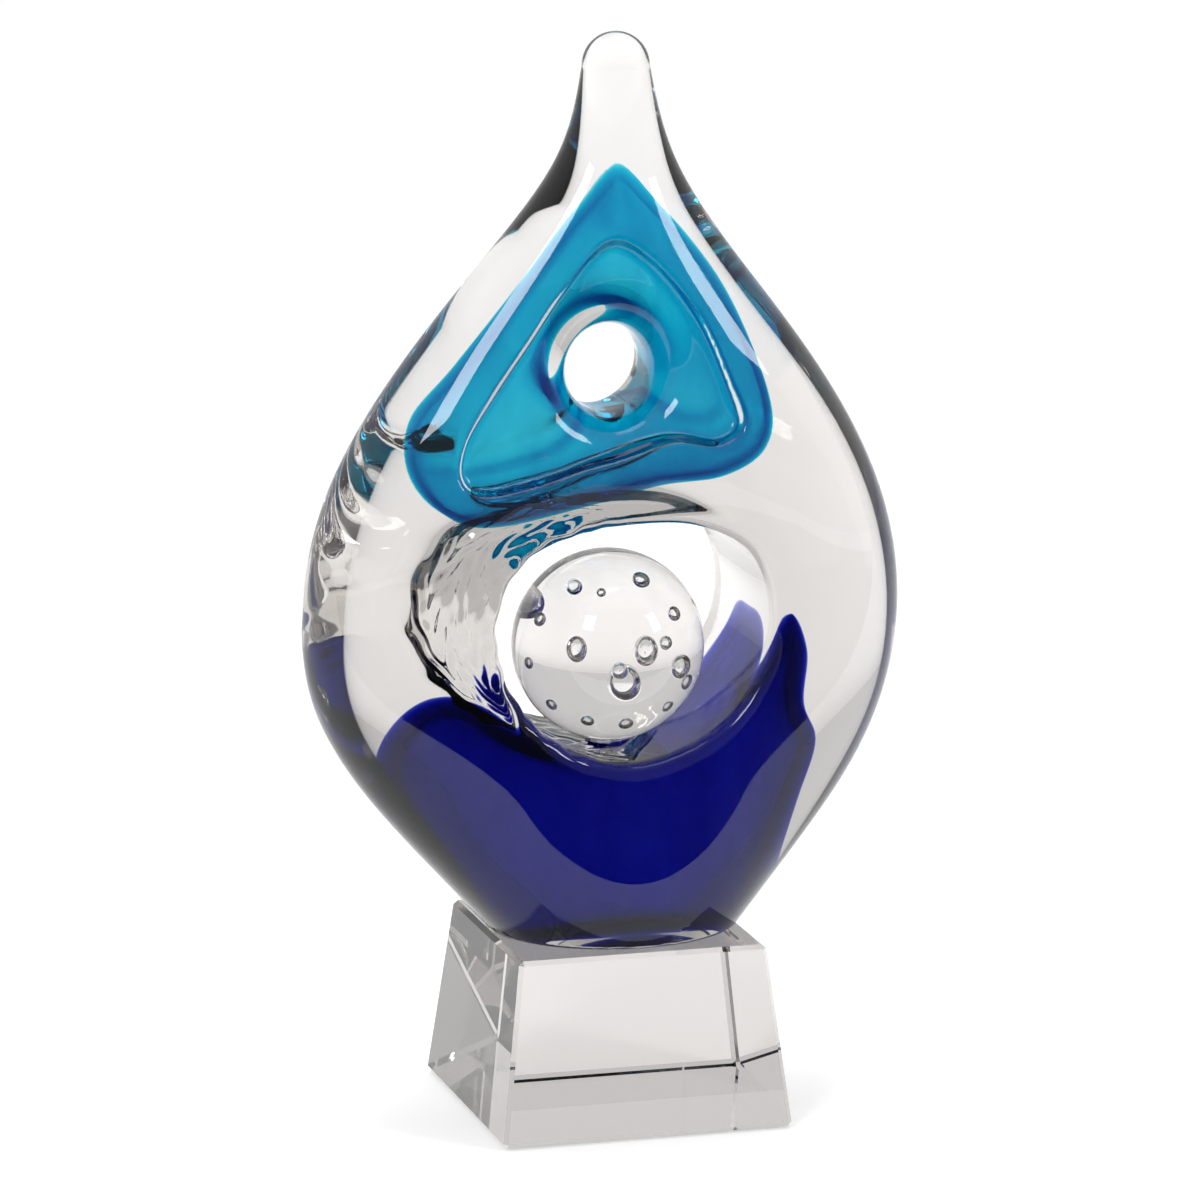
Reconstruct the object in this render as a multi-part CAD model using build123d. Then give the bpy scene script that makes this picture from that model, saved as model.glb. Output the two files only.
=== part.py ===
from build123d import *
import math
import os

# Crystal award: an art-glass teardrop with two holes through it and coloured glass inside,
# a bubbled glass ball standing in the larger hole, and a tapered crystal block underneath.
# Millimetres. Origin at the centre of the block's underside, +Z up, -Y is the front.

# Crystal block
BLOCK_BOTTOM = 80.0
BLOCK_TOP = 68.0
BLOCK_HEIGHT = 49.0
BLOCK_BEVEL = 1.8

# Adhesive films
BOND_FILM = 0.3
FOOT_BOND_MARGIN = 3.0
BALL_BOND_RADIUS = 6.0

# Teardrop: height, half width, half depth, sideways lean and edge fullness of its level sections
FOOT = BLOCK_HEIGHT + BOND_FILM
TIP_RADIUS = 9.0
TIP_CENTRE = 280.8
TIP_LEAN = 1.0
STATIONS = [
    (FOOT, 33.6, 29.0, 1.2, 2.0),
    (66.0, 48.5, 31.0, 0.5, 2.1),
    (88.0, 66.3, 31.0, -0.6, 2.4),
    (112.0, 78.6, 30.5, -2.0, 3.3),
    (137.0, 81.9, 29.5, -2.0, 3.6),
    (162.0, 77.8, 28.0, -2.0, 3.6),
    (188.0, 65.7, 25.5, -1.6, 3.4),
    (214.0, 47.4, 21.5, -1.0, 2.8),
    (237.0, 28.9, 17.0, -0.1, 2.2),
    (256.0, 16.2, 12.5, 1.0, 2.0),
    (270.0, 11.2, 10.2, 1.2, 2.0),
    (TIP_CENTRE, TIP_RADIUS, TIP_RADIUS, TIP_LEAN, 2.0),
]
SECTION_POINTS = 20

# Larger hole, the window: its outline at the front spreads to one side on its way to the back
WINDOW_CENTRE = (0.0, 132.0)
WINDOW_FLOOR = 99.6
WINDOW_OUTLINE = [
    (0.0, 162.8), (17.0, 161.5), (31.0, 154.0), (36.8, 140.0), (34.5, 124.0), (22.0, 107.5), (0.0, WINDOW_FLOOR),
    (-20.0, 105.0), (-33.0, 119.0), (-37.2, 137.0), (-31.0, 153.0), (-17.0, 160.5),
]
WINDOW_SPREAD = 0.30
WINDOW_FLARE = [(0.0, 0.0), (12.0, 0.0), (22.0, 0.2), (27.0, 1.8), (32.0, 6.0)]

# Smaller hole, the eye: round, with a wide crater at each face
EYE_X = -2.8
EYE_Z = 201.5
EYE_RADIUS = 11.6
EYE_FLARE = [(0.0, 0.0), (7.0, 0.1), (12.0, 0.9), (16.0, 2.9), (20.0, 6.4), (26.0, 14.0)]

# Three-cornered dimple pressed into both faces round the eye
DIMPLE_OUTLINE = [
    (-5.0, 236.0), (-17.0, 225.0), (-27.0, 212.0), (-37.5, 198.0), (-45.0, 186.0), (-46.5, 177.0), (-41.0, 173.0),
    (-26.0, 175.5), (-8.0, 181.0), (8.0, 186.0), (22.0, 183.5), (29.0, 188.0), (26.0, 199.0), (18.5, 216.0),
    (6.0, 231.0),
]
DIMPLE_STEPS = [(8.0, 0.80), (22.0, 0.98), (31.0, 1.10)]
DIMPLE_FRONT_SHARE = 0.82
DIMPLE_BACK_SHARE = 0.86

# Coloured cores: outlines at mid depth, and the clear skin that the holes keep over them
CORE_SKIN = 2.0
EYE_SKIN = 7.0
CORE_SLICES = [(-19.0, 0.72), (-12.0, 0.93), (0.0, 1.0), (12.0, 0.93), (19.0, 0.72)]
AQUA_DEPTH_SHARE = 0.80
AQUA_DIMPLE_SHARE = 0.50
AQUA_CENTRE = (-4.0, 195.0)
AQUA_OUTLINE = [
    (1.0, 256.5), (-9.0, 242.5), (-22.0, 223.0), (-39.0, 200.0), (-50.5, 185.0), (-51.0, 170.5), (-41.0, 161.5),
    (-20.0, 163.0), (8.0, 169.5), (27.0, 171.5), (38.5, 178.5), (39.0, 192.0), (27.0, 220.0), (11.5, 243.0),
]
COBALT_DEPTH_SHARE = 0.80
COBALT_WIDTH_SHARE = 0.95
COBALT_CENTRE = (-4.0, 80.0)
COBALT_FLOOR = FOOT + CORE_SKIN
COBALT_OUTLINE = [
    (-48.0, 115.0), (-58.5, 105.0), (-57.5, 90.0), (-46.0, 70.0), (-32.0, 52.0), (-2.0, 40.0),
    (30.0, 49.0), (40.0, 68.0), (47.0, 86.0), (51.5, 100.0), (48.5, 110.0), (49.5, 124.0), (44.5, 134.0),
    (34.0, 124.0), (0.0, 108.0), (-30.0, 113.0),
]

# Ball in the window, and its bubbles as x, y, z from the ball's centre and radius
BALL_RADIUS = 25.8
BALL_X = -0.5
BALL_Z = WINDOW_FLOOR + BOND_FILM + BALL_RADIUS
BUBBLES = [
    (5.5, -9.0, 17.0, 2.2), (12.5, -12.0, 9.0, 1.8), (4.5, -16.0, 1.5, 3.0), (-12.0, -14.5, 2.5, 2.6),
    (13.5, -11.5, -3.5, 2.8), (15.5, -10.0, -7.5, 1.9), (-1.5, -15.0, -3.0, 2.0), (11.0, -13.0, -13.0, 1.6),
    (1.0, -12.0, -16.5, 1.8), (-8.5, -12.0, -16.0, 1.7), (-16.5, -8.0, -12.5, 1.6), (-19.0, -6.0, 8.5, 1.8),
    (-5.5, -13.0, 16.0, 1.2), (-13.0, 6.0, 17.5, 1.9), (9.5, -15.5, 3.0, 1.7), (-2.5, 10.0, 7.0, 1.3),
    (-21.5, -5.0, -2.5, 1.5), (6.0, 13.0, -8.0, 2.2), (-7.0, 15.0, 3.0, 2.4), (16.0, 8.0, 4.0, 1.6),
]

# Front and back, and how deep the dimple is in each
DIMPLES = [(-1, DIMPLE_FRONT_SHARE), (1, DIMPLE_BACK_SHARE)]


def oval(half_width, half_depth, power):
    """An ellipse at power 2, with fuller edges above it."""
    if power == 2.0:
        return Ellipse(half_width, half_depth)
    points = []
    for step in range(SECTION_POINTS):
        angle = 2 * math.pi * step / SECTION_POINTS
        reach = abs(math.cos(angle)) ** (2 / power)
        points.append((math.copysign(half_width * reach, math.cos(angle)), half_depth * math.sin(angle)))
    return make_face(Spline(*points, periodic=True))


def teardrop(width_share=1.0, depth_share=1.0):
    """The teardrop's outer shape, or a slimmer copy of it inside the same lean."""
    sections = [
        Pos(lean, 0, height) * oval(half_width * width_share, half_depth * depth_share, power)
        for height, half_width, half_depth, lean, power in STATIONS
    ]
    body = loft(sections)
    if min(width_share, depth_share) < 1.0:
        return body
    return body + Pos(TIP_LEAN, 0, TIP_CENTRE) * Sphere(TIP_RADIUS)


def window_cutter(extra=0.0):
    """The window's tunnel, opening out a little at both faces."""
    half_height = WINDOW_CENTRE[1] - WINDOW_FLOOR
    depth = WINDOW_FLARE[-1][0]
    stations = [(-y, opening) for y, opening in reversed(WINDOW_FLARE[1:])] + WINDOW_FLARE
    sections = []
    for y, opening in stations:
        spread = 1.0 + WINDOW_SPREAD * (y + depth) / (2 * depth)
        outline = shrunk(WINDOW_OUTLINE, WINDOW_CENTRE, 1.0 + (opening + extra) / half_height)
        outline = [(x * spread if x < 0 else x, z) for x, z in outline]
        sections.append(Plane.XZ.offset(-y) * make_face(Spline(*outline, periodic=True)))
    return loft(sections)


def eye_cutter(extra=0.0):
    """A round hole along Y: straight in the middle, with a crater at both ends."""
    stations = [(-y, opening) for y, opening in reversed(EYE_FLARE[1:])] + EYE_FLARE
    return loft([
        Plane.XZ.offset(-y) * Pos(EYE_X, EYE_Z) * Circle(EYE_RADIUS + opening + extra)
        for y, opening in stations
    ])


def shrunk(points, centre, share):
    """The same outline, smaller or larger about its centre."""
    return [(centre[0] + (x - centre[0]) * share, centre[1] + (z - centre[1]) * share) for x, z in points]


def dimple_cutter(side, floor_share):
    """A three-cornered dish in the front (side -1) or back (side 1), its floor following the body."""
    sections = []
    for y, share in DIMPLE_STEPS:
        edge = Spline(*shrunk(DIMPLE_OUTLINE, (EYE_X, EYE_Z), share), periodic=True)
        sections.append(Plane.XZ.offset(-side * y) * make_face(edge))
    return loft(sections) - teardrop(depth_share=floor_share)


def core_blank(outline, centre):
    """A pillow-edged slab with the given outline at mid depth."""
    sections = []
    for y, share in CORE_SLICES:
        edge = Spline(*shrunk(outline, centre, share), periodic=True)
        sections.append(Plane.XZ.offset(-y) * make_face(edge))
    return loft(sections)


def make_block():
    block = loft([
        Rectangle(BLOCK_BOTTOM, BLOCK_BOTTOM),
        Pos(0, 0, BLOCK_HEIGHT) * Rectangle(BLOCK_TOP, BLOCK_TOP),
    ])
    corners = block.edges().filter_by(lambda edge: abs(edge.tangent_at(0.5).Z) > 0.5)
    return chamfer(corners, BLOCK_BEVEL)


def make_aqua_core():
    core = core_blank(AQUA_OUTLINE, AQUA_CENTRE) & teardrop(depth_share=AQUA_DEPTH_SHARE)
    core -= window_cutter(CORE_SKIN)
    core -= eye_cutter(EYE_SKIN)
    for side, _ in DIMPLES:
        core -= dimple_cutter(side, AQUA_DIMPLE_SHARE)
    return core


def make_cobalt_core():
    core = core_blank(COBALT_OUTLINE, COBALT_CENTRE)
    core &= teardrop(COBALT_WIDTH_SHARE, COBALT_DEPTH_SHARE)
    core -= window_cutter(CORE_SKIN)
    return split(core, Plane.XY.offset(COBALT_FLOOR), keep=Keep.TOP)


def make_casing(cores):
    casing = teardrop() - window_cutter() - eye_cutter()
    for side, floor_share in DIMPLES:
        casing -= dimple_cutter(side, floor_share)
    for core in cores:
        casing -= core
    return casing


def make_ball():
    ball = Pos(BALL_X, 0, BALL_Z) * Sphere(BALL_RADIUS)
    for x, y, z, radius in BUBBLES:
        ball -= Pos(BALL_X + x, y, BALL_Z + z) * Sphere(radius)
    return ball


def make_ball_bond():
    drop = Pos(BALL_X, 0, BALL_Z - BALL_RADIUS) * Cylinder(BALL_BOND_RADIUS, 4 * BOND_FILM + 1.0)
    return (drop & window_cutter()) - Pos(BALL_X, 0, BALL_Z) * Sphere(BALL_RADIUS)


def make_foot_bond():
    height, half_width, half_depth, lean, power = STATIONS[0]
    film = Ellipse(half_width - FOOT_BOND_MARGIN, half_depth - FOOT_BOND_MARGIN)
    return Pos(lean, 0, BLOCK_HEIGHT) * extrude(film, BOND_FILM)


def main():
    aqua_core = make_aqua_core()
    cobalt_core = make_cobalt_core()
    nodes = {
        "base_block": make_block(),
        "clear_casing": make_casing([aqua_core, cobalt_core]),
        "aqua_core": aqua_core,
        "cobalt_core": cobalt_core,
        "bubble_ball": make_ball(),
        "ball_bond": make_ball_bond(),
        "foot_bond": make_foot_bond(),
    }
    os.makedirs("parts", exist_ok=True)
    for name, shape in nodes.items():
        export_step(shape, f"parts/{name}.step")


main()
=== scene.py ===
import math

import bmesh
import bpy
import numpy as np
import openvdb
from mathutils import Matrix, Vector


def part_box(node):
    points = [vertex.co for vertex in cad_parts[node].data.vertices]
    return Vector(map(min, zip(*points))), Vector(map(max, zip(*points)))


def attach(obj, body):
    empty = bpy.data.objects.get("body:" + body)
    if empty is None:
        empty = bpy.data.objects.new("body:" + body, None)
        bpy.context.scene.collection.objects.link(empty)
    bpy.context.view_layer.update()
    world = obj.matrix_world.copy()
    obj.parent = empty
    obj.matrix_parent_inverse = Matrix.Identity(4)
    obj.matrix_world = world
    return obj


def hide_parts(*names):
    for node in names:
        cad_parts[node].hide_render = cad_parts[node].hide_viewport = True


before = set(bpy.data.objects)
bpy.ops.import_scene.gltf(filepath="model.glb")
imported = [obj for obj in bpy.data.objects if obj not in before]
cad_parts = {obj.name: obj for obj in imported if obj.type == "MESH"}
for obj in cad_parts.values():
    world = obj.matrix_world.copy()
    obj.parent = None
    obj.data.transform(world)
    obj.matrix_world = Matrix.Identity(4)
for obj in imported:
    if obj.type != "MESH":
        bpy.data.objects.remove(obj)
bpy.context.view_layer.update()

# Lengths in the shape functions are millimetres, as on a maker's drawing; meshes are in metres.
MM = 0.001

# ---------------------------------------------------------------- sizes of the glass

BLOCK_LOW, BLOCK_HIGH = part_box("base_block")
CASING_LOW, CASING_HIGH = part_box("clear_casing")
BALL_LOW, BALL_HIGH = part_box("bubble_ball")

BLOCK_BOTTOM = (BLOCK_HIGH[0] - BLOCK_LOW[0]) / MM
BLOCK_TOP = 68.0
BLOCK_HEIGHT = BLOCK_HIGH[2] / MM
BLOCK_BEVEL = 1.1

# Teardrop: height, half width, half depth, sideways lean and edge fullness of its level sections.
# The foot dips a hair into the block, because glued glass has no air gap to mirror the light.
FOOT_DIP = 0.15
FOOT = BLOCK_HIGH[2] / MM - FOOT_DIP
FOOT_ROUNDING = 1.0
TIP_RADIUS = 9.0
TIP_CENTRE = CASING_HIGH[2] / MM - TIP_RADIUS
TIP_LEAN = 1.0
STATIONS = np.array([
    (FOOT, 33.6, 29.0, 1.2, 2.0),
    (66.0, 48.5, 31.0, 0.5, 2.1),
    (88.0, 66.3, 31.0, -0.6, 2.4),
    (112.0, 78.6, 30.5, -2.0, 3.3),
    (137.0, 81.9, 29.5, -2.0, 3.6),
    (162.0, 77.8, 28.0, -2.0, 3.6),
    (188.0, 65.7, 25.5, -1.6, 3.4),
    (214.0, 47.4, 21.5, -1.0, 2.8),
    (237.0, 28.9, 17.0, -0.1, 2.2),
    (256.0, 16.2, 12.5, 1.0, 2.0),
    (270.0, 11.2, 10.2, 1.2, 2.0),
    (TIP_CENTRE, TIP_RADIUS, TIP_RADIUS, TIP_LEAN, 2.0),
])

# The window that the ball stands in, which is wider at the back by WINDOW_SPREAD of its left half
CASING_DEPTH = CASING_HIGH[1] / MM
WINDOW_X = 0.0
WINDOW_Z = 132.0
WINDOW_OUTLINE = [
    (0.0, 162.8), (17.0, 161.5), (31.0, 154.0), (36.8, 140.0), (34.5, 124.0), (22.0, 107.5),
    (0.0, 99.6), (-20.0, 105.0), (-33.0, 119.0), (-37.2, 137.0), (-31.0, 153.0), (-17.0, 160.5),
]
WINDOW_ROUNDING = 5.0
WINDOW_SPREAD = 0.30

# Chill marks on the window's wall: their height, how many go round, and their pitch through the
# hole, then how far and how fast the rows sway, and where the marks reach their full height
RIPPLE_HEIGHT = 0.34
RIPPLE_TURNS = 22.0
RIPPLE_PITCH = 10.0
RIPPLE_SWAY = 1.6
RIPPLE_SWAY_RATE = 0.45
RIPPLE_DRIFT = 1.9
RIPPLE_DRIFT_TURNS = 5
RIPPLE_FULL_AT = 16.0

# The eye, a round hole above the window, with clear glass EYE_SKIN thick between it and the aqua
EYE_X = -2.8
EYE_Z = 201.5
EYE_RADIUS = 11.6
EYE_ROUNDING = 16.0
EYE_SKIN = 7.0

# The three-cornered dimple pressed into both faces round the eye: crisp in front, soft behind.
# Each face has its floor's share of the body's depth, and the rounding of its edge.
DIMPLE_OUTLINE = [
    (-5.0, 236.0), (-17.0, 225.0), (-27.0, 212.0), (-37.5, 198.0), (-45.0, 186.0), (-46.5, 177.0),
    (-41.0, 173.0), (-26.0, 175.5), (-8.0, 181.0), (8.0, 186.0), (22.0, 183.5), (29.0, 188.0),
    (26.0, 199.0), (18.5, 216.0), (6.0, 231.0),
]
DIMPLE_FRONT = (0.79, 3.5)
DIMPLE_BACK = (0.86, 12.0)

# Coloured cores: the clear skin between them and the window or the foot, their share of the body's
# depth, the rounding of their edges, and the thickness of their coat of colour
CORE_SKIN = 2.0
CORE_CUT_ROUNDING = 3.0
AQUA_DEPTH_SHARE = 0.80
AQUA_DIMPLE_SHARE = 0.50
AQUA_ROUNDING = 20.0
AQUA_COAT = 1.6
AQUA_OUTLINE = [
    (1.0, 256.5), (-9.0, 242.5), (-22.0, 223.0), (-39.0, 200.0), (-50.5, 185.0), (-51.0, 170.5),
    (-41.0, 161.5), (-20.0, 163.0), (8.0, 169.5), (27.0, 171.5), (38.5, 178.5), (39.0, 192.0),
    (27.0, 220.0), (11.5, 243.0),
]
COBALT_DEPTH_SHARE = 0.80
COBALT_ROUNDING = 22.0
COBALT_COAT = 3.4
COBALT_OUTLINE = [
    (-48.0, 115.0), (-58.5, 105.0), (-57.5, 90.0), (-46.0, 70.0), (-32.0, 52.0), (-2.0, 40.0),
    (30.0, 49.0), (40.0, 68.0), (47.0, 86.0), (51.5, 100.0), (48.5, 110.0), (49.5, 124.0), (44.5, 134.0),
    (34.0, 124.0), (0.0, 108.0), (-30.0, 113.0),
]

BALL_RADIUS = (BALL_HIGH[2] - BALL_LOW[2]) / 2 / MM
BALL_CENTRE = (-0.5, 0.0, (BALL_HIGH[2] + BALL_LOW[2]) / 2 / MM)
BALL_UNEVENNESS = 0.12
BALL_LUMP_SCALE = 45.0
BALL_SMOOTHNESS = 7
BUBBLE_SMOOTHNESS = 4

# Bubbles in the ball: place from its centre, half width, and height over width
BALL_BUBBLES = [
    (5.5, -9.0, 17.0, 2.2, 1.0), (12.5, -12.0, 9.0, 1.8, 1.0), (4.5, -16.0, 1.5, 3.0, 1.2),
    (-12.0, -14.5, 2.5, 2.6, 1.25), (13.5, -11.5, -3.5, 2.8, 1.0), (15.5, -10.0, -7.5, 1.9, 1.0),
    (-1.5, -15.0, -3.0, 2.0, 1.0), (11.0, -13.0, -13.0, 1.6, 1.0), (1.0, -12.0, -16.5, 1.8, 1.0),
    (-8.5, -12.0, -16.0, 1.7, 1.0), (-16.5, -8.0, -12.5, 1.6, 1.0), (-19.0, -6.0, 8.5, 1.8, 1.0),
    (-5.5, -13.0, 16.0, 1.2, 1.0), (-13.0, 6.0, 17.5, 1.9, 1.0), (9.5, -15.5, 3.0, 1.7, 1.0),
    (-2.5, 10.0, 7.0, 1.3, 1.0), (-21.5, -5.0, -2.5, 1.5, 1.0), (6.0, 13.0, -8.0, 2.2, 1.0),
    (-7.0, 15.0, 3.0, 2.4, 1.0), (16.0, 8.0, 4.0, 1.6, 1.0),
]

# How distances are kept even inside a body: how far in from an outline they level out, the share of
# a section that counts as its middle, and the least steepness that is divided by
LEVEL_REACH = 9.0
MIDDLE_SHARE = 0.1
LEAST_STEEPNESS = 1e-6

# How a body is turned into a mesh: the voxel, the room left round the body, the band in which its
# distances are kept, and the step, least slope and repeats that settle each point on the skin
VOXEL = 1.04
BODY_ROOM = 4.0
DISTANCE_BAND = 5.0
SLOPE_STEP = 0.05
SLOPE_LEAST = 0.05
SETTLING_REPEATS = 3

# ---------------------------------------------------------------- camera

CAMERA_AZIMUTH = math.radians(-16.4)
CAMERA_ELEVATION = math.radians(12.26)
CAMERA_ROLL = math.radians(0.26)
CAMERA_DISTANCE = 1.798
CAMERA_TARGET = Vector((-0.00263, 0.0, 0.1377))
CAMERA_LENS = 202.7
CAMERA_SENSOR = 36.0
CAMERA_CLIP = 100.0


def make_camera():
    azimuth, elevation = CAMERA_AZIMUTH, CAMERA_ELEVATION
    back = Vector((
        math.sin(azimuth) * math.cos(elevation),
        -math.cos(azimuth) * math.cos(elevation),
        math.sin(elevation),
    ))
    level = Vector((math.cos(azimuth), math.sin(azimuth), 0.0))
    upright = back.cross(level)
    right = math.cos(CAMERA_ROLL) * level + math.sin(CAMERA_ROLL) * upright
    up = back.cross(right)
    data = bpy.data.cameras.new("camera")
    data.lens = CAMERA_LENS
    data.sensor_width = CAMERA_SENSOR
    data.clip_end = CAMERA_CLIP
    camera = bpy.data.objects.new("camera", data)
    turn = Matrix((right, up, back)).transposed().to_4x4()
    camera.matrix_world = Matrix.Translation(CAMERA_TARGET + back * CAMERA_DISTANCE) @ turn
    bpy.context.scene.collection.objects.link(camera)
    bpy.context.scene.camera = camera


# ---------------------------------------------------------------- shape functions


def natural_spline(knots, values, at):
    """A smooth curve through the stations, read at every height in `at`."""
    gap = np.diff(knots)
    count = len(knots)
    rows = np.eye(count)
    right = np.zeros(count)
    for i in range(1, count - 1):
        rows[i, i - 1:i + 2] = gap[i - 1], 2 * (gap[i - 1] + gap[i]), gap[i]
        right[i] = 6 * ((values[i + 1] - values[i]) / gap[i] - (values[i] - values[i - 1]) / gap[i - 1])
    bend = np.linalg.solve(rows, right)
    at = np.clip(at, knots[0], knots[-1])
    i = np.clip(np.searchsorted(knots, at) - 1, 0, count - 2)
    a, b, h = knots[i + 1] - at, at - knots[i], gap[i]
    cubic = (bend[i] * a ** 3 + bend[i + 1] * b ** 3) / (6 * h)
    return cubic + (values[i] / h - bend[i] * h / 6) * a + (values[i + 1] / h - bend[i + 1] * h / 6) * b


def section_at(z):
    """Half width, half depth, lean and edge fullness of the teardrop at each height."""
    return [natural_spline(STATIONS[:, 0], STATIONS[:, column], z) for column in (1, 2, 3, 4)]


def smooth_max(a, b, rounding):
    """The larger of two distances, with the crease between them rounded. The quarter makes the
    rounding run into both of them without a kink."""
    blend = np.maximum(rounding - np.abs(a - b), 0.0) / rounding
    return np.maximum(a, b) + blend * blend * rounding * 0.25


def section_distance(across, along, half_across, half_along, power):
    """Near enough the distance to a level section: an ellipse at power 2, with fuller edges above it.
    No point is deeper than half the depth. At the very middle the slope vanishes, so there that
    depth is given outright."""
    u, v = np.abs(across) / half_across, np.abs(along) / half_along
    share = np.sqrt(u ** power + v ** 2)
    steep = np.sqrt((power / 2 * u ** (power - 1) / half_across) ** 2 + (v / half_along) ** 2)
    distance = (share - 1.0) * share / np.maximum(steep, LEAST_STEEPNESS)
    return np.where(share < MIDDLE_SHARE, -half_along, np.maximum(distance, -half_along))


def closed_curve(points, steps=12):
    """A smooth closed line through a few points."""
    points = np.array(points)
    before, after, later = np.roll(points, 1, 0), np.roll(points, -1, 0), np.roll(points, -2, 0)
    t = np.linspace(0, 1, steps, endpoint=False)[None, :, None]
    p0, p1, p2, p3 = (p[:, None, :] for p in (before, points, after, later))
    line = 0.5 * (2 * p1 + (p2 - p0) * t + (2 * p0 - 5 * p1 + 4 * p2 - p3) * t ** 2
                  + (3 * p1 - p0 - 3 * p2 + p3) * t ** 3)
    return line.reshape(-1, 2)


def outline_distance(x, z, line):
    """Distance from (x, z) to a closed line. Inside it is negative and levels out towards the middle,
    so that no ridge forms where opposite sides meet."""
    shape = np.broadcast(x, z).shape
    nearest = np.full(shape, np.inf)
    inside = np.zeros(shape, bool)
    for (ax, az), (bx, bz) in zip(line, np.roll(line, -1, 0)):
        dx, dz = bx - ax, bz - az
        t = np.clip(((x - ax) * dx + (z - az) * dz) / (dx * dx + dz * dz), 0, 1)
        nearest = np.minimum(nearest, (x - ax - t * dx) ** 2 + (z - az - t * dz) ** 2)
        if dz != 0:
            crosses = ((az > z) != (bz > z)) & (x < dx * (z - az) / dz + ax)
            inside ^= crosses
    nearest = np.sqrt(nearest)
    return np.where(inside, LEVEL_REACH * (np.exp(-nearest / LEVEL_REACH) - 1.0), nearest)


def polar_line(line, centre):
    """A closed line round a centre as angle, reach, and the share of a radial step that crosses it."""
    offset = line - np.array(centre)
    angle = np.arctan2(offset[:, 1], offset[:, 0])
    order = np.argsort(angle)
    angle, reach = angle[order], np.hypot(*offset[order].T)
    angle = np.concatenate([angle[-3:] - 2 * math.pi, angle, angle[:3] + 2 * math.pi])
    reach = np.concatenate([reach[-3:], reach, reach[:3]])
    return angle, reach, reach / np.hypot(reach, np.gradient(reach, angle))


def teardrop(x, y, z, depth_share=1.0):
    """Negative in the teardrop. With a share of its depth it is the same body made thinner, without
    the round tip and the flat foot."""
    half_width, half_depth, lean, power = section_at(z)
    body = section_distance(x - lean, y, half_width, half_depth * depth_share, power)
    if depth_share < 1.0:
        return body
    tip = np.sqrt((x - TIP_LEAN) ** 2 + y ** 2 + (z - TIP_CENTRE) ** 2) - TIP_RADIUS
    body = np.where(z > TIP_CENTRE, tip, body)
    return smooth_max(body, FOOT - z, FOOT_ROUNDING)


def window(x, y, z):
    """Negative in the window, which spreads to one side on its way to the back."""
    x = x - WINDOW_X
    share = np.clip((y + CASING_DEPTH) / (2 * CASING_DEPTH), 0, 1)
    x = x / np.where(x < 0, 1.0 + WINDOW_SPREAD * share, 1.0)
    angle = np.arctan2(z - WINDOW_Z, x)
    beyond = np.hypot(x, z - WINDOW_Z) - np.interp(angle, WINDOW_ANGLES, WINDOW_REACH)
    return beyond * np.interp(angle, WINDOW_ANGLES, WINDOW_STEEP)


def ripple(x, y, z):
    """Chill marks: shallow waves that the hot hole took from the tool that opened it."""
    angle = np.arctan2(z - WINDOW_Z, x - WINDOW_X)
    along = y * 2 * math.pi / RIPPLE_PITCH
    rows = np.sin(RIPPLE_TURNS * angle + RIPPLE_SWAY * np.sin(RIPPLE_SWAY_RATE * along))
    waves = rows * np.cos(along + RIPPLE_DRIFT * np.sin(RIPPLE_DRIFT_TURNS * angle))
    return RIPPLE_HEIGHT * waves * np.clip(-(x - WINDOW_X) / RIPPLE_FULL_AT, 0, 1)


def eye(x, z):
    """Negative in the round hole above the window."""
    return np.hypot(x - EYE_X, z - EYE_Z) - EYE_RADIUS


DIMPLE_LINE = closed_curve(DIMPLE_OUTLINE)
WINDOW_ANGLES, WINDOW_REACH, WINDOW_STEEP = polar_line(
    closed_curve(WINDOW_OUTLINE), (WINDOW_X, WINDOW_Z)
)
AQUA_LINE = closed_curve(AQUA_OUTLINE)
COBALT_LINE = closed_curve(COBALT_OUTLINE)


def dimple(x, y, z, front, back):
    """Negative inside the dimples: within their outline and above the floor that follows the body."""
    edge = outline_distance(x, z, DIMPLE_LINE)
    in_front, behind = (
        smooth_max(edge, -teardrop(x, y, z, share), rounding) for share, rounding in (front, back)
    )
    return np.where(y < 0, in_front, behind)


def casing_field(x, y, z):
    """The whole teardrop: dimpled, with the window and the eye through it."""
    body = teardrop(x, y, z)
    body = smooth_max(body, -dimple(x, y, z, DIMPLE_FRONT, DIMPLE_BACK), DIMPLE_FRONT[1])
    body = smooth_max(body, -window(x, y, z) - ripple(x, y, z), WINDOW_ROUNDING)
    return smooth_max(body, -eye(x, z), EYE_ROUNDING)


def core_field(x, y, z, line, depth_share, rounding):
    """A coloured body under the clear skin, within its outline and clear of the window."""
    edge = outline_distance(x, z, line)
    core = smooth_max(edge, teardrop(x, y, z, depth_share), rounding)
    return smooth_max(core, -(window(x, y, z) - CORE_SKIN), CORE_CUT_ROUNDING)


def aqua_field(x, y, z):
    """The aqua body, dimpled like the casing over it and clear of the eye."""
    core = core_field(x, y, z, AQUA_LINE, AQUA_DEPTH_SHARE, AQUA_ROUNDING)
    floor = (AQUA_DIMPLE_SHARE, DIMPLE_FRONT[1])
    core = smooth_max(core, -dimple(x, y, z, floor, floor), DIMPLE_FRONT[1])
    return smooth_max(core, -(eye(x, z) - EYE_SKIN), CORE_CUT_ROUNDING)


def cobalt_field(x, y, z):
    """The cobalt body, which ends just above the foot."""
    core = core_field(x, y, z, COBALT_LINE, COBALT_DEPTH_SHARE, COBALT_ROUNDING)
    return smooth_max(core, FOOT + CORE_SKIN - z, CORE_CUT_ROUNDING)


# ---------------------------------------------------------------- mesh makers


def link(name, mesh):
    """A new object in the scene."""
    piece = bpy.data.objects.new(name, mesh)
    bpy.context.scene.collection.objects.link(piece)
    return piece


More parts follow.
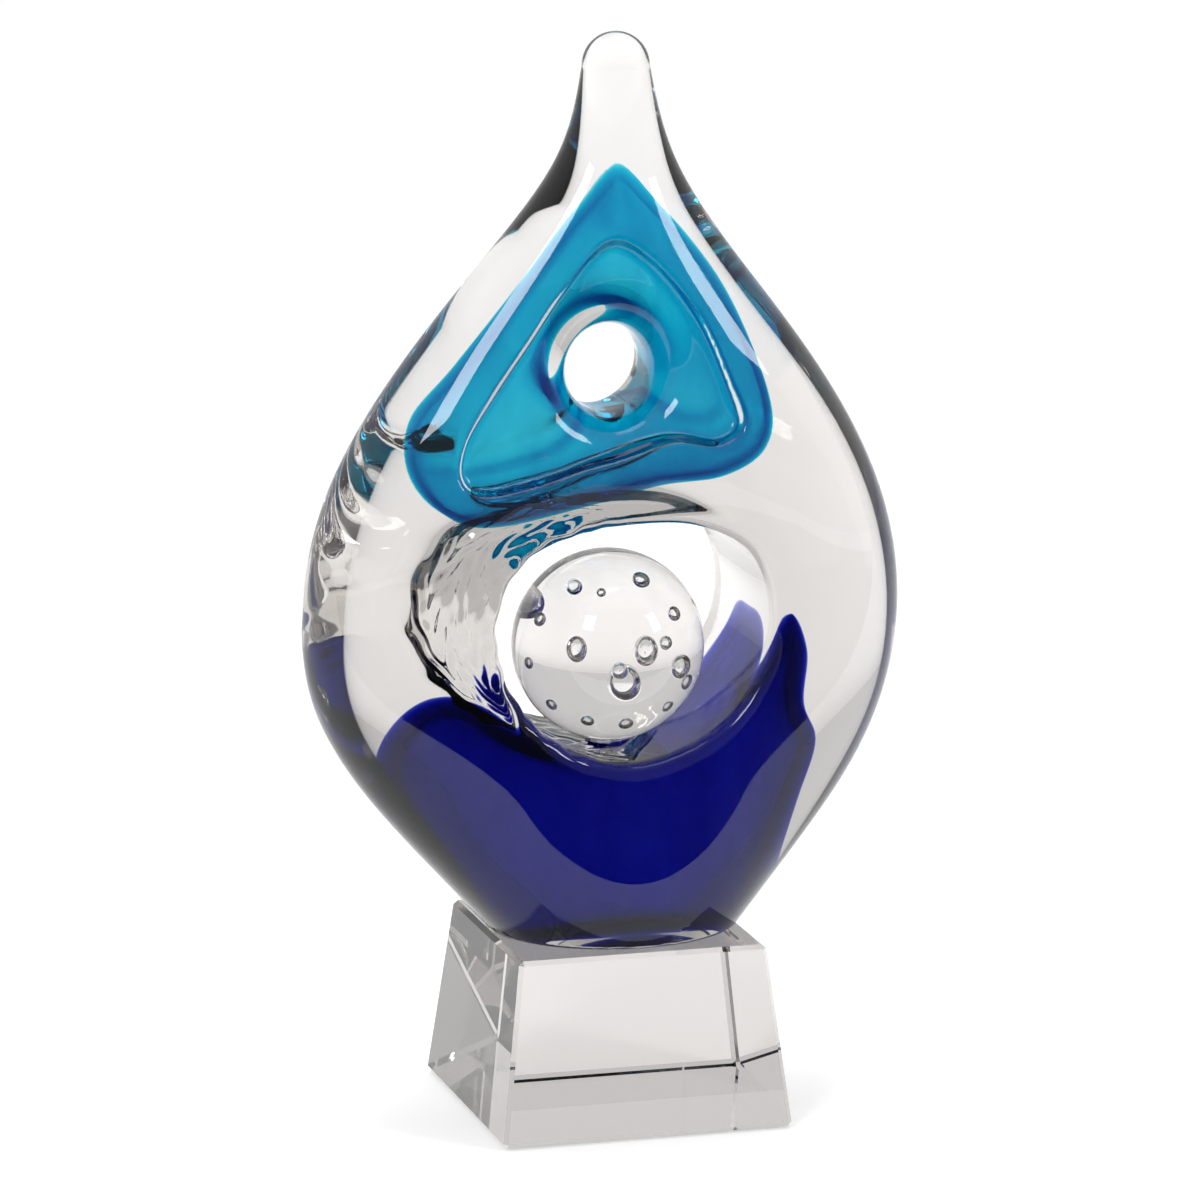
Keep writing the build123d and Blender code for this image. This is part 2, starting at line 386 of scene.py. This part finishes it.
def slope_of(field, points):
    """Which way, and how fast, the field rises at each point."""
    slopes = []
    for axis in range(3):
        shift = np.zeros(3)
        shift[axis] = SLOPE_STEP
        slopes.append((field(*(points + shift).T) - field(*(points - shift).T)) / (2 * SLOPE_STEP))
    return np.stack(slopes, 1)


def skin_of(field, low, high):
    """Points, faces and normals of the closed skin where the field is zero."""
    axes = [np.arange(a, b + VOXEL, VOXEL) for a, b in zip(low, high)]
    x, y, z = np.meshgrid(*axes, indexing="ij", sparse=True)
    grid = openvdb.FloatGrid(2 * DISTANCE_BAND)
    grid.copyFromArray(np.clip(field(x, y, z), -DISTANCE_BAND, DISTANCE_BAND).astype(np.float32))
    points, quads = grid.convertToQuads(0.0)
    points = points.astype(float) * VOXEL + np.array(low)

    for _ in range(SETTLING_REPEATS):
        slope = slope_of(field, points)
        reach = field(*points.T)[:, None] / np.maximum((slope ** 2).sum(1, keepdims=True), SLOPE_LEAST)
        points -= np.clip(reach * slope, -VOXEL, VOXEL)
    normals = slope_of(field, points)
    normals /= np.linalg.norm(normals, axis=1, keepdims=True)

    corner = points[quads]
    facing = np.cross(corner[:, 2] - corner[:, 0], corner[:, 3] - corner[:, 1])
    if (facing * normals[quads[:, 0]]).sum() < 0:
        quads = quads[:, ::-1]
    return points, quads, normals


def glass_from_field(name, field, box, coat=None):
    """A smooth glass body, or only its coat of this thickness, with normals read from the field
    itself. The box is the body's lowest and highest corners in metres."""
    low = [v / MM - BODY_ROOM for v in box[0]]
    high = [v / MM + BODY_ROOM for v in box[1]]
    points, quads, normals = skin_of(field, low, high)
    if coat:
        inner_points, inner_quads, inner_normals = skin_of(
            lambda x, y, z: field(x, y, z) + coat, low, high
        )
        quads = np.concatenate([quads, inner_quads[:, ::-1] + len(points)])
        points = np.concatenate([points, inner_points])
        normals = np.concatenate([normals, -inner_normals])
    mesh = bpy.data.meshes.new(name)
    mesh.from_pydata((points * MM).tolist(), [], quads.tolist())
    mesh.shade_smooth()
    mesh.normals_split_custom_set_from_vertices(normals.tolist())
    print(name, len(quads) * 2, "triangles")
    return link(name, mesh)


def make_block():
    """A square block, narrower at the top, with every edge ground to a narrow flat."""
    corners = ((-1, -1), (1, -1), (1, 1), (-1, 1))
    form = bmesh.new()
    rings = []
    for half, z in ((BLOCK_BOTTOM / 2 * MM, 0.0), (BLOCK_TOP / 2 * MM, BLOCK_HEIGHT * MM)):
        rings.append([form.verts.new((sx * half, sy * half, z)) for sx, sy in corners])
    form.faces.new(rings[0][::-1])
    form.faces.new(rings[1])
    for i in range(4):
        j = (i + 1) % 4
        form.faces.new((rings[0][i], rings[0][j], rings[1][j], rings[1][i]))
    bmesh.ops.bevel(form, geom=form.edges[:], offset=BLOCK_BEVEL * MM, segments=1, affect="EDGES")
    mesh = bpy.data.meshes.new("crystal_block")
    form.to_mesh(mesh)
    form.free()
    return link("crystal_block", mesh)


def add_node(tree, kind, values=None, links=None, **settings):
    """A node with its settings, the values of its sockets, and the links into them."""
    node = tree.nodes.new(kind)
    for name, value in settings.items():
        setattr(node, name, value)
    for socket, value in (values or {}).items():
        node.inputs[socket].default_value = value
    for socket, source in (links or {}).items():
        tree.links.new(source, node.inputs[socket])
    return node


def new_tree(name, inputs):
    """An empty Geometry Nodes tree with named inputs, and its input and output nodes."""
    tree = bpy.data.node_groups.new(name, "GeometryNodeTree")
    tree.interface.new_socket("Geometry", in_out="OUTPUT", socket_type="NodeSocketGeometry")
    for label, kind in inputs:
        tree.interface.new_socket(label, in_out="INPUT", socket_type=kind)
    return tree, add_node(tree, "NodeGroupInput"), add_node(tree, "NodeGroupOutput")


def bake_tree(name, mesh, tree, values):
    """Run a tree on a mesh with the given inputs, and keep the result as a plain mesh."""
    piece = link(name, mesh)
    maker = piece.modifiers.new(tree.name, "NODES")
    maker.node_group = tree
    for item in tree.interface.items_tree:
        if item.item_type == "SOCKET" and item.in_out == "INPUT" and item.name in values:
            maker[item.identifier] = values[item.name]
    graph = bpy.context.evaluated_depsgraph_get()
    done = bpy.data.meshes.new_from_object(piece.evaluated_get(graph), depsgraph=graph)
    piece.modifiers.remove(maker)
    piece.data = done
    return piece


def bubble_points(name, bubbles):
    """One vertex a bubble, with its size across and along as attributes, in metres."""
    mesh = bpy.data.meshes.new(name)
    mesh.from_pydata([[c * MM for c in centre] for centre, _, _ in bubbles], [], [])
    for label, column in (("width", 1), ("height", 2)):
        sizes = mesh.attributes.new(label, "FLOAT", "POINT")
        for i, bubble in enumerate(bubbles):
            sizes.data[i].value = bubble[column] * MM
    return mesh


def add_bubbles(tree, points, smoothness):
    """Round voids on the points, their faces turned towards the air inside them."""
    sizes = [
        add_node(tree, "GeometryNodeInputNamedAttribute", {"Name": label}, data_type="FLOAT")
        for label in ("width", "height")
    ]
    scale = add_node(tree, "ShaderNodeCombineXYZ", links={
        "X": sizes[0].outputs[0], "Y": sizes[0].outputs[0], "Z": sizes[1].outputs[0],
    })
    bubble = add_node(tree, "GeometryNodeMeshIcoSphere", {"Radius": 1.0}, {"Subdivisions": smoothness})
    placed = add_node(tree, "GeometryNodeInstanceOnPoints", links={
        "Points": points, "Instance": bubble.outputs[0], "Scale": scale.outputs[0],
    })
    real = add_node(tree, "GeometryNodeRealizeInstances", links={0: placed.outputs[0]})
    return add_node(tree, "GeometryNodeFlipFaces", links={"Mesh": real.outputs[0]})


def make_ball(material):
    """A ball of glass that is a little out of round, with bubbles through it."""
    tree, given, result = new_tree("bubbled_ball_maker", [
        ("Bubbles", "NodeSocketGeometry"), ("Radius", "NodeSocketFloat"), ("Centre", "NodeSocketVector"),
        ("Unevenness", "NodeSocketFloat"), ("Ball Smoothness", "NodeSocketInt"),
        ("Bubble Smoothness", "NodeSocketInt"), ("Glass", "NodeSocketMaterial"),
    ])
    bubbles = add_bubbles(tree, given.outputs["Bubbles"], given.outputs["Bubble Smoothness"])
    ball = add_node(tree, "GeometryNodeMeshIcoSphere", links={
        "Radius": given.outputs["Radius"], "Subdivisions": given.outputs["Ball Smoothness"],
    })
    lumps = add_node(tree, "ShaderNodeTexNoise", {
        "Scale": BALL_LUMP_SCALE, "Detail": 0.0,
    }, noise_dimensions="3D")
    normal = add_node(tree, "GeometryNodeInputNormal")
    depth = add_node(tree, "ShaderNodeMath", links={
        0: lumps.outputs["Fac"], 1: given.outputs["Unevenness"],
    }, operation="MULTIPLY")
    offset = add_node(tree, "ShaderNodeVectorMath", links={
        "Vector": normal.outputs[0], "Scale": depth.outputs[0],
    }, operation="SCALE")
    uneven = add_node(tree, "GeometryNodeSetPosition", links={
        "Geometry": ball.outputs[0], "Offset": offset.outputs[0],
    })
    placed = add_node(tree, "GeometryNodeTransform", links={
        "Geometry": uneven.outputs[0], "Translation": given.outputs["Centre"],
    })
    whole = add_node(tree, "GeometryNodeJoinGeometry", links={0: placed.outputs[0]})
    tree.links.new(bubbles.outputs[0], whole.inputs[0])
    smooth = add_node(tree, "GeometryNodeSetShadeSmooth", links={"Geometry": whole.outputs[0]})
    finished = add_node(tree, "GeometryNodeSetMaterial", links={
        "Geometry": smooth.outputs[0], "Material": given.outputs["Glass"],
    })
    tree.links.new(finished.outputs[0], result.inputs[0])
    bubbles = [
        ([c + d for c, d in zip(BALL_CENTRE, (x, y, z))], width, width * stretch)
        for x, y, z, width, stretch in BALL_BUBBLES
    ]
    return bake_tree("bubbled_ball", bubble_points("bubbled_ball", bubbles), tree, {
        "Radius": (BALL_RADIUS - BALL_UNEVENNESS) * MM,
        "Centre": [c * MM for c in BALL_CENTRE],
        "Unevenness": BALL_UNEVENNESS * MM,
        "Ball Smoothness": BALL_SMOOTHNESS,
        "Bubble Smoothness": BUBBLE_SMOOTHNESS,
        "Glass": material,
    })


# ---------------------------------------------------------------- materials

WHITE = (1, 1, 1, 1)

# Where on the noise a streak is at its heaviest, and where it has faded out
STREAK_HEAVY = 0.38
STREAK_FADED = 0.62


def to_linear(code):
    """Linear channels of an sRGB hex colour."""
    channels = [int(code[i:i + 2], 16) / 255 for i in (1, 3, 5)]
    return [c / 12.92 if c <= 0.04045 else ((c + 0.055) / 1.055) ** 2.4 for c in channels]


def clear_material(name, ior, through, depth):
    """Transparent glass: `through` is the colour that white light has after `depth` millimetres."""
    material = bpy.data.materials.new(name)
    material.use_nodes = True
    tree = material.node_tree
    tree.nodes.clear()
    surface = add_node(tree, "ShaderNodeBsdfPrincipled", {
        "Base Color": WHITE, "Roughness": 0.0, "IOR": ior, "Transmission Weight": 1.0,
    })
    loss = [-math.log(max(c, 1e-4)) / (depth * MM) for c in to_linear(through)]
    densest = max(loss)
    inside = add_node(tree, "ShaderNodeVolumeAbsorption", {
        "Color": (*(1 - c / densest for c in loss), 1), "Density": densest,
    })
    output = add_node(tree, "ShaderNodeOutputMaterial")
    tree.links.new(surface.outputs[0], output.inputs["Surface"])
    tree.links.new(inside.outputs[0], output.inputs["Volume"])
    return material, tree, surface


def add_waviness(tree, surface, waves):
    """Soft unevenness of the surface, each wave given as its length and height in millimetres."""
    place = add_node(tree, "ShaderNodeTexCoord")
    normal = None
    for length, height in waves:
        noise = add_node(tree, "ShaderNodeTexNoise", {
            "Scale": 1 / (length * MM), "Detail": 1.0,
        }, {"Vector": place.outputs["Object"]})
        bump = add_node(tree, "ShaderNodeBump", {"Distance": height * MM}, {"Height": noise.outputs["Fac"]})
        if normal:
            tree.links.new(normal, bump.inputs["Normal"])
        normal = bump.outputs[0]
    tree.links.new(normal, surface.inputs["Normal"])


def add_streaks(tree, surface, length, width, heavy):
    """Colour drawn out upwards in streaks, with their length and width in millimetres; `heavy` is the
    tint that a streak adds where it is heaviest."""
    place = add_node(tree, "ShaderNodeTexCoord")
    drawn = add_node(tree, "ShaderNodeMapping", {
        "Scale": (1 / (width * MM), 1 / (width * MM), 1 / (length * MM)),
    }, {"Vector": place.outputs["Object"]})
    noise = add_node(tree, "ShaderNodeTexNoise", {
        "Scale": 1.0, "Detail": 2.0, "Distortion": 0.6,
    }, {"Vector": drawn.outputs[0]})
    ramp = add_node(tree, "ShaderNodeValToRGB", links={"Fac": noise.outputs["Fac"]})
    ramp.color_ramp.elements[0].position = STREAK_HEAVY
    ramp.color_ramp.elements[0].color = (*to_linear(heavy), 1)
    ramp.color_ramp.elements[1].position = STREAK_FADED
    ramp.color_ramp.elements[1].color = WHITE
    tree.links.new(ramp.outputs["Color"], surface.inputs["Base Color"])


def make_clear_glass():
    # Soda-lime art glass, hot-worked and fire-polished: clear and faintly grey in depth, with a liquid
    # surface that drifts over a thumb's width and so bends what is seen through it. The warm grey in
    # depth is partly the glass's own faint tint and partly painted shade, standing in for the dim grey
    # backdrop seen through the glass.
    material, tree, surface = clear_material(
        "fire_polished_art_glass", ior=1.5, through="#d8d5d2", depth=50,
    )
    add_waviness(tree, surface, [(32.0, 0.12), (11.0, 0.012)])
    return material


def make_block_crystal():
    # Optical crystal, sawn, ground and polished on a flat wheel: plane and sharp, with only the faint
    # unevenness that the polishing pad leaves. Its warm grey in depth is partly its own faint tint and
    # partly painted shade, standing in for the dim grey backdrop seen through the block.
    material, tree, surface = clear_material(
        "polished_optical_crystal", ior=1.52, through="#e0dddb", depth=80,
    )
    add_waviness(tree, surface, [(14.0, 0.004)])
    return material


def make_ball_glass():
    # Crystal ball, moulded and tumble-polished: bright and pale, with a slight drift in its surface. Its
    # warm grey in depth is partly its own faint tint and partly painted shade, standing in for the dim
    # grey backdrop seen through the ball.
    material, tree, surface = clear_material(
        "tumble_polished_ball_glass", ior=1.5, through="#e2dfdc", depth=60,
    )
    add_waviness(tree, surface, [(16.0, 0.01)])
    return material


def make_aqua_glass():
    # Transparent aqua glass gathered over a clear heart and cased in clear glass. Light doesn't bend
    # where glass is fused to glass, so the index across that face is 1.0 and only the colour shows.
    material, tree, surface = clear_material("aqua_cased_glass", ior=1.0, through="#10b6da", depth=5)
    add_streaks(tree, surface, length=60.0, width=14.0, heavy="#e4eef6")
    return material


def make_cobalt_glass():
    # Transparent cobalt glass, cased like the aqua, with heavier and darker streaks.
    material, tree, surface = clear_material("cobalt_cased_glass", ior=1.0, through="#3a48bc", depth=6)
    add_streaks(tree, surface, length=50.0, width=16.0, heavy="#d4d8f2")
    return material


def make_adhesive():
    # Light-cured acrylic adhesive, squeezed out thin and clear, with a skin that shrank a little.
    material, tree, surface = clear_material("light_cured_acrylic", ior=1.49, through="#ece9e2", depth=10)
    add_waviness(tree, surface, [(3.0, 0.01)])
    return material


# ---------------------------------------------------------------- staging

# Lengths here are metres. The floor lies a hair under the block, so that no two faces coincide.
FLOOR_RADIUS = 12.0
FLOOR_GAP = 0.0006
FLOOR_PAINT = (0.9, 0.9, 0.9, 1)
FLOOR_ROUGHNESS = 0.9
FLOOR_GLOW = 0.36

# The room is dimmer in front of the award than behind it. ROOM_TURN is where the change starts and
# ends, as the Y part of a direction: -1 is straight in front and 1 is straight behind.
ROOM_FRONT = 0.30
ROOM_BACK = 0.78
ROOM_TURN = (-0.7, 0.2)

# A black card in front of the award, flat on the floor
FLAG_PAINT = (0.01, 0.01, 0.01, 1)
FLAG_HALF_WIDTH = 3
FLAG_NEAR = -0.2
FLAG_FAR = -4
FLAG_HEIGHT = 0.001

# Softboxes: name, place, width, height, and power in watts
SOFTBOX_AIM = (0, 0, 0.15)
SOFTBOXES = [
    ("left_softbox", (-1.3, -1.4, 1.5), 0.5, 0.7, 11),
    ("right_softbox", (1.4, -1.2, 1.1), 0.4, 0.7, 8),
    ("top_softbox", (0, 0.3, 2.6), 1.6, 1.6, 15),
]

# Light has to pass through many faces of glass, one behind another
GLASS_BOUNCES = 24
GLOSS_BOUNCES = 12


def make_floor():
    form = bmesh.new()
    bmesh.ops.create_circle(form, cap_ends=True, radius=FLOOR_RADIUS, segments=64)
    bmesh.ops.translate(form, verts=form.verts, vec=(0, 0, -FLOOR_GAP))
    mesh = bpy.data.meshes.new("floor")
    form.to_mesh(mesh)
    form.free()
    floor = link("floor", mesh)
    material = bpy.data.materials.new("painted_floor")
    material.use_nodes = True
    paint = material.node_tree.nodes["Principled BSDF"]
    paint.inputs["Base Color"].default_value = FLOOR_PAINT
    paint.inputs["Roughness"].default_value = FLOOR_ROUGHNESS
    paint.inputs["Emission Color"].default_value = WHITE
    paint.inputs["Emission Strength"].default_value = FLOOR_GLOW
    mesh.materials.append(material)


def make_flag(name, corners):
    """A black card that only shows in reflections, used in a studio to keep glass from looking milky."""
    mesh = bpy.data.meshes.new(name)
    mesh.from_pydata(corners, [], [(0, 1, 2, 3)])
    card = link(name, mesh)
    material = bpy.data.materials.new("black_card")
    material.use_nodes = True
    material.node_tree.nodes["Principled BSDF"].inputs["Base Color"].default_value = FLAG_PAINT
    mesh.materials.append(material)
    card.visible_camera = False
    card.visible_diffuse = False
    card.visible_transmission = False
    card.visible_shadow = False


def softbox(name, place, width, height, power):
    data = bpy.data.lights.new(name, "AREA")
    data.shape = "RECTANGLE"
    data.size = width
    data.size_y = height
    data.energy = power
    lamp = bpy.data.objects.new(name, data)
    lamp.location = place
    lamp.rotation_euler = (Vector(place) - Vector(SOFTBOX_AIM)).to_track_quat("Z", "Y").to_euler()
    bpy.context.scene.collection.objects.link(lamp)


def make_light():
    world = bpy.data.worlds.new("studio")
    bpy.context.scene.world = world
    world.use_nodes = True
    tree = world.node_tree
    way = add_node(tree, "ShaderNodeTexCoord")
    axes = add_node(tree, "ShaderNodeSeparateXYZ", links={0: way.outputs["Generated"]})
    level = add_node(tree, "ShaderNodeMapRange", {
        "From Min": ROOM_TURN[0], "From Max": ROOM_TURN[1], "To Min": ROOM_FRONT, "To Max": ROOM_BACK,
    }, {"Value": axes.outputs["Y"]})
    tree.links.new(level.outputs[0], tree.nodes["Background"].inputs["Strength"])
    tree.nodes["Background"].inputs["Color"].default_value = WHITE
    for name, place, width, height, power in SOFTBOXES:
        softbox(name, place, width, height, power)
    make_flag("front_flag", [
        (-FLAG_HALF_WIDTH, FLAG_NEAR, FLAG_HEIGHT), (FLAG_HALF_WIDTH, FLAG_NEAR, FLAG_HEIGHT),
        (FLAG_HALF_WIDTH, FLAG_FAR, FLAG_HEIGHT), (-FLAG_HALF_WIDTH, FLAG_FAR, FLAG_HEIGHT),
    ])


def set_look():
    """Plain display of colours, and enough bounces for light to cross all the glass."""
    scene = bpy.context.scene
    scene.view_settings.view_transform = "Standard"
    scene.cycles.max_bounces = GLASS_BOUNCES
    scene.cycles.transmission_bounces = GLASS_BOUNCES
    scene.cycles.glossy_bounces = GLOSS_BOUNCES
    scene.cycles.use_denoising = True


# ---------------------------------------------------------------- the award

make_camera()
make_floor()
make_light()
set_look()

clear_glass = make_clear_glass()
aqua_glass = make_aqua_glass()
cobalt_glass = make_cobalt_glass()
adhesive = make_adhesive()

casing = glass_from_field("teardrop_casing", casing_field, (CASING_LOW, CASING_HIGH))
casing.data.materials.append(clear_glass)
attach(casing, "root")
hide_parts("clear_casing")

for name, field, coat, node, slot, material in (
    ("aqua_glass_core", aqua_field, AQUA_COAT, "aqua_core", "aqua_glass", aqua_glass),
    ("cobalt_glass_core", cobalt_field, COBALT_COAT, "cobalt_core", "cobalt_glass", cobalt_glass),
):
    core = glass_from_field(name, field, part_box(node), coat)
    core.data.materials.append(material)
    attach(core, "root")
    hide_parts(node)

block = make_block()
block.data.materials.append(make_block_crystal())
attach(block, "root")
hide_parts("base_block")

ball = make_ball(make_ball_glass())
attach(ball, "root")
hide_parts("bubble_ball")

for node in ("ball_bond", "foot_bond"):
    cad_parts[node].data.materials[0] = adhesive
